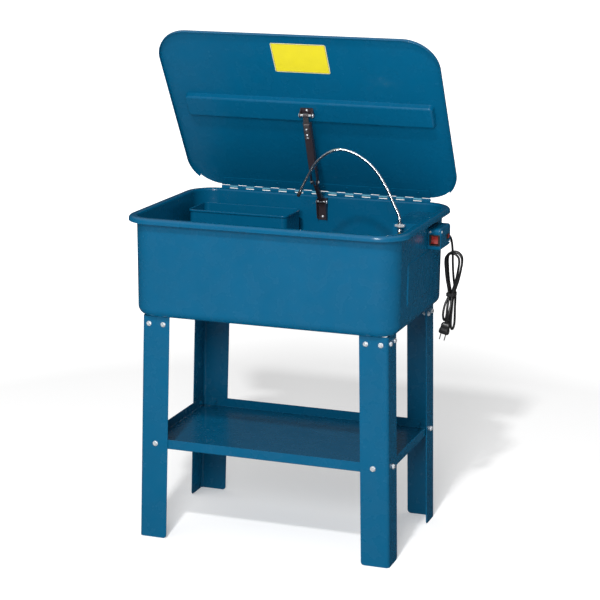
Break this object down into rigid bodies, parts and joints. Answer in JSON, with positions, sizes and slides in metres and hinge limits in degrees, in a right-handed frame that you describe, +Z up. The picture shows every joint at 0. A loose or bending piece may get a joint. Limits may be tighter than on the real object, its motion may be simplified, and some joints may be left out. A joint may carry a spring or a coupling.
{
  "type": "parts washer tank",
  "caption": "Sheet-steel parts washer tank on a four-legged stand, with a hinged lid on a fusible elbow stay, a gooseneck spout, a work shelf, a parts basket and a lower shelf.",
  "frame": {"origin": "middle of the base: under the centre of the box around everything but the loose cord, on the floor the legs stand on", "axes": "+X to the object's right (switch side), +Y to its back (hinge side), +Z up"},
  "size_m": [0.774, 0.5082, 1.2758],
  "materials": {
    "blue_paint": "gloss powder coat, light orange peel",
    "zinc": "bright zinc plate",
    "dark_steel": "dark brown-black satin",
    "chrome": "polished",
    "brass": "satin",
    "black_plastic": "fine moulded grain",
    "black_rubber": "satin cable jacket",
    "red_plastic": "gloss",
    "yellow_label": "satin printed film, left plain"
  },
  "bodies": {
    "tank": {"tank_body": "blue_paint", "lower_shelf": "blue_paint", "hinge_leaf_tank": "blue_paint", "spout_bracket": "blue_paint", "wiring_cover": "blue_paint", "work_shelf": "blue_paint", "parts_basket": "blue_paint", "switch_box": "blue_paint", "leg_front_left": "blue_paint", "leg_front_right": "blue_paint", "leg_rear_left": "blue_paint", "leg_rear_right": "blue_paint", "corner_bracket_front_left": "blue_paint", "corner_bracket_front_right": "blue_paint", "corner_bracket_rear_left": "blue_paint", "corner_bracket_rear_right": "blue_paint", "drain_bung": "zinc", "hinge_pin": "zinc", "stay_tank_pin": "zinc", "shelf_bolt_front_left_a": "zinc", "shelf_bolt_front_left_b": "zinc", "shelf_bolt_front_right_a": "zinc", "shelf_bolt_front_right_b": "zinc", "shelf_bolt_rear_left_a": "zinc", "shelf_bolt_rear_left_b": "zinc", "shelf_bolt_rear_right_a": "zinc", "shelf_bolt_rear_right_b": "zinc", "stay_tank_bracket": "dark_steel", "spout_fitting": "brass", "pump_body": "black_plastic", "pump_strainer": "black_plastic", "switch_bezel": "black_plastic", "pump_hose": "black_rubber", "cord_gland": "black_rubber", "power_cord": "black_rubber", "cord_hank": "black_rubber", "cord_tail": "black_rubber", "plug": "black_rubber", "cord_tie": "black_rubber"},
    "lid": {"lid_panel": "blue_paint", "lid_stiffener": "blue_paint", "caution_label": "yellow_label", "hinge_leaf_lid": "blue_paint", "stay_lid_bracket": "dark_steel", "stay_lid_pin": "zinc"},
    "stay_upper": {"stay_upper_arm": "dark_steel", "fusible_link": "zinc", "stay_elbow_rivet_right": "zinc", "stay_elbow_rivet_left": "zinc"},
    "stay_lower": {"stay_lower_arm": "dark_steel"},
    "spout": {"spout_ferrule": "chrome", "spout_hose": "chrome", "spout_nozzle": "black_plastic", "spout_clamp": "zinc"},
    "rocker": {"switch_rocker": "red_plastic"},
    "drain_plug": {"drain_plug": "brass"}
  },
  "joints": [
    {"name": "lid_hinge", "type": "hinge", "parent": "tank", "child": "lid", "pos_m": [-0.00345, 0.25065, 0.8385], "axis": [1, 0, 0], "range_deg": [0, 58]},
    {"name": "stay_lid_pivot", "type": "hinge", "parent": "lid", "child": "stay_upper", "pos_m": [0.00255, 0.08124, 1.06434], "axis": [1, 0, 0], "range_deg": [-6.5, 0.1]},
    {"name": "stay_tank_pivot", "type": "hinge", "parent": "tank", "child": "stay_lower", "pos_m": [0.00255, 0.21115, 0.822], "axis": [1, 0, 0], "range_deg": [-0.1, 96.5]},
    {"name": "spout_fold", "type": "hinge", "parent": "tank", "child": "spout", "pos_m": [0.27955, -0.00385, 0.8025], "axis": [1, 0, 0], "range_deg": [0, 90]},
    {"name": "rocker_tip", "type": "hinge", "parent": "tank", "child": "rocker", "pos_m": [0.35775, 0.04315, 0.777], "axis": [1, 0, 0], "range_deg": [0, 22]},
    {"name": "drain_plug_out", "type": "slide", "parent": "tank", "child": "drain_plug", "axis": [0, 0, -1], "range_m": [0, 0.025]}
  ],
  "couplings": [
    {"joint": "stay_lid_pivot", "follows": "lid_hinge", "ratio": -0.10998},
    {"joint": "stay_tank_pivot", "follows": "lid_hinge", "ratio": 1.6602},
    {"joint": "spout_fold", "follows": "lid_hinge", "ratio": 1.5517}
  ]
}
